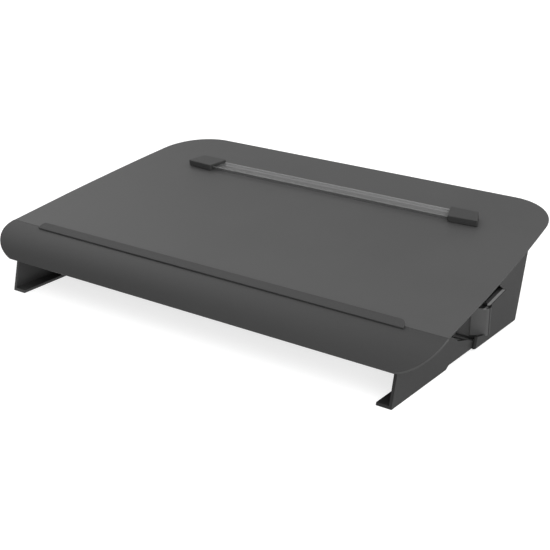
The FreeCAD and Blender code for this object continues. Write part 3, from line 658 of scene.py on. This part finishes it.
def solids_of(node):
    """(lowest corner, highest corner) of every separate solid of a CAD node, in a fixed order."""
    shape = bmesh.new()
    shape.from_mesh(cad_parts[node].data)
    bmesh.ops.remove_doubles(shape, verts=shape.verts, dist=1e-6)
    waiting = set(shape.verts)
    boxes = []
    while waiting:
        edge = [waiting.pop()]
        found = []
        while edge:
            here = edge.pop()
            found.append(here.co.copy())
            for link in here.link_edges:
                other = link.other_vert(here)
                if other in waiting:
                    waiting.discard(other)
                    edge.append(other)
        low = Vector([min(p[i] for p in found) for i in range(3)])
        high = Vector([max(p[i] for p in found) for i in range(3)])
        boxes.append((low, high))
    shape.free()
    return sorted(boxes, key=lambda box: tuple(box[0]))


def gathered(meshes):
    """One mesh out of several."""
    shape = bmesh.new()
    for mesh in meshes:
        shape.from_mesh(mesh)
    whole = bpy.data.meshes.new("fixings")
    shape.to_mesh(whole)
    shape.free()
    return whole


def cross_screws(recipe, node, height, length):
    """Screws along X, with their heads towards the middle of the stand."""
    meshes = []
    for side in (-1, 1):
        points = []
        for low, high in solids_of(node):
            middle = (low + high) / 2
            if middle.x * side > 0:
                seat = low.x + height if side > 0 else high.x - height
                points.append((seat, middle.y, middle.z))
        if points:
            turn = (0.0, side * math.pi / 2, 0.0)
            meshes.append(recipe.make(points, turn, "zinc", Height=height, Length=length))
    return gathered(meshes)


def fixings():
    """Screws, studs, nuts and feet in place of their plain CAD solids."""
    screw, stud, nut, pad = screw_recipe(), stud_recipe(), nut_recipe(), pad_recipe()
    as_piece(
        "rail_screws_threaded", cross_screws(screw, "rail_screws", HEAD_HEIGHT, RAIL_SHANK),
        "zinc", "stand", ["rail_screws"],
    )
    as_piece(
        "drawer_front_screws_threaded",
        cross_screws(screw, "drawer_front_screws", FRONT_HEAD_HEIGHT, FRONT_SHANK),
        "zinc", "drawer", ["drawer_front_screws"],
    )
    seats = [
        ((a.x + b.x) / 2, (a.y + b.y) / 2, a.z + HEAD_HEIGHT) for a, b in solids_of("floor_screws")
    ]
    as_piece(
        "floor_screws_threaded", screw.make(seats, (0.0, 0.0, 0.0), "zinc", Length=FLOOR_SHANK),
        "zinc", "stand", ["floor_screws"],
    )
    down = (math.pi + BOARD_TILT, 0.0, 0.0)
    normal = Vector((0.0, -math.sin(BOARD_TILT), math.cos(BOARD_TILT)))
    roots = [tuple((a + b) / 2 + normal * STUD_LENGTH / 2) for a, b in solids_of("board_studs")]
    as_piece(
        "board_studs_threaded", stud.make(roots, down, "zinc"),
        "zinc", "stand", ["board_studs"],
    )
    middles = [tuple((a + b) / 2) for a, b in solids_of("board_nuts")]
    as_piece(
        "board_nuts_chamfered", nut.make(middles, (BOARD_TILT, 0.0, 0.0), "zinc"),
        "zinc", "stand", ["board_nuts"],
    )
    for node in ("front_foot_pads", "rear_foot_pads"):
        feet = [((a.x + b.x) / 2, (a.y + b.y) / 2, a.z) for a, b in solids_of(node)]
        as_piece(
            node + "_ribbed", pad.make(feet, (0.0, 0.0, 0.0), "rubber"),
            "rubber", "stand", [node],
        )


def floor():
    """Pale sweep with a glow of its own, and a painted shadow where the glow is taken away."""
    mesh = bpy.data.meshes.new("floor")
    r = FLOOR_HALF
    mesh.from_pydata([(-r, -r, 0), (r, -r, 0), (r, r, 0), (-r, r, 0)], [], [(0, 1, 2, 3)])
    plane = bpy.data.objects.new("floor", mesh)
    bpy.context.scene.collection.objects.link(plane)
    paper = Finish("floor_paper")
    cloud = paper.noise(3.0, 2.0, 0.5)
    x, y = paper.axis("X"), paper.axis("Y")
    far = ((x * x + y * y) ** 0.5).between(*GLOW_RADII)
    # Painted shadow: no glow inside the patch.
    across, along = x - PAINTED_SHADOW_PATCH[0], y - PAINTED_SHADOW_PATCH[1]
    lit = ((across * across + along * along) ** 0.5).between(*PAINTED_SHADOW_RADII)
    glow = paper.blend(far, grey(FLOOR_GLOW[0]), grey(FLOOR_GLOW[1]))
    paper.shade(
        Emission_Color=paper.blend(lit, grey(0.0), glow),
        Emission_Strength=1.0,
        Base_Color=paper.blend(cloud, grey(FLOOR_SHADE * 0.99), grey(FLOOR_SHADE * 1.01)),
        Roughness=0.9, Specular_IOR_Level=0.1,
    )
    mesh.materials.append(paper.material)


def lights():
    """Even sky and three softboxes that look at the middle of the frame."""
    world = bpy.data.worlds.new("studio")
    bpy.context.scene.world = world
    world.use_nodes = True
    background = world.node_tree.nodes["Background"]
    background.inputs["Color"].default_value = (1.0, 1.0, 1.0, 1.0)
    background.inputs["Strength"].default_value = SKY_STRENGTH
    for name, (azimuth, height, strength, distance, width) in SOFTBOXES.items():
        around, up = math.radians(azimuth), math.radians(height)
        source = Vector((
            math.cos(up) * math.cos(around), -math.cos(up) * math.sin(around), math.sin(up),
        ))
        glow = bpy.data.lights.new(name, "AREA")
        glow.energy = strength * math.pi * distance ** 2
        glow.size = width
        lamp = bpy.data.objects.new(name, glow)
        lamp.location = source * distance
        lamp.rotation_euler = source.to_track_quat("Z", "Y").to_euler()
        bpy.context.scene.collection.objects.link(lamp)


def camera():
    """Camera at the photograph's viewing angle."""
    data = bpy.data.cameras.new("camera")
    data.sensor_width = SENSOR
    data.lens = FOCAL_PIXELS / IMAGE_SIZE * SENSOR
    eye = bpy.data.objects.new("camera", data)
    eye.location = CAMERA_PLACE
    eye.rotation_euler = [math.radians(a) for a in CAMERA_TURN]
    bpy.context.scene.collection.objects.link(eye)
    bpy.context.scene.camera = eye


shaped_pieces()
fixings()
floor()
lights()
camera()
bpy.context.scene.view_settings.view_transform = "Standard"
